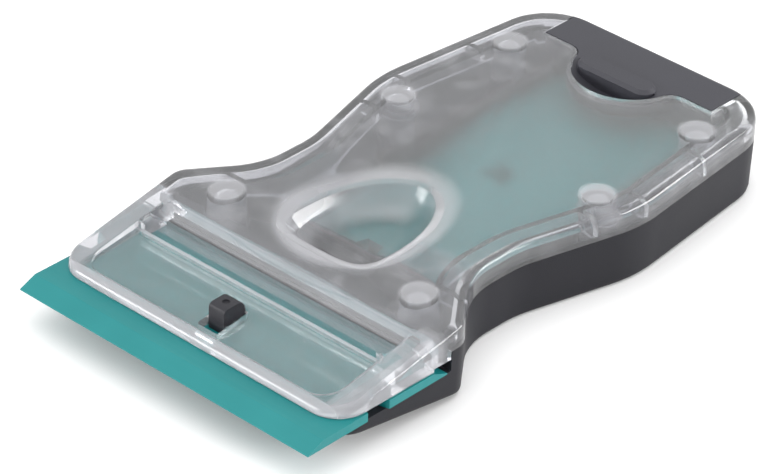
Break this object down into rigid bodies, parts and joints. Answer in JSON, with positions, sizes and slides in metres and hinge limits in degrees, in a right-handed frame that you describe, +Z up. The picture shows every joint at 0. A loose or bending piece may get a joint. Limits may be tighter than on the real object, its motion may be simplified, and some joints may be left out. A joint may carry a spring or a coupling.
{
  "type": "hob scraper",
  "caption": "Flat hand scraper: a double-edged plastic blade clamped under a clear cover, with a sliding pusher, a thumb bowl and a drawer for spare blades.",
  "frame": {"origin": "middle of the overall length and width, on the table that the flat bottom rests on", "axes": "+Y from the cutting edge towards the back of the handle, +X across the blade, +Z up out of the clear cover"},
  "size_m": [0.062, 0.116, 0.0147],
  "materials": {
    "dark_plastic": "fine moulded grain",
    "clear_plastic": "clear, slightly hazy moulding",
    "teal_plastic": "satin"
  },
  "bodies": {
    "body": {"lower_shell": "dark_plastic", "top_cover": "clear_plastic"},
    "blade": {"scraper_blade": "teal_plastic", "blade_pusher": "dark_plastic"},
    "drawer": {"blade_drawer": "dark_plastic", "spare_blade_1": "teal_plastic", "spare_blade_2": "teal_plastic", "spare_blade_3": "teal_plastic"}
  },
  "joints": [
    {"name": "blade_push", "type": "slide", "parent": "body", "child": "blade", "axis": [0, -1, 0], "range_m": [0, 0.0016]},
    {"name": "drawer_pull", "type": "slide", "parent": "body", "child": "drawer", "axis": [0, 1, 0], "range_m": [0, 0.05]}
  ]
}
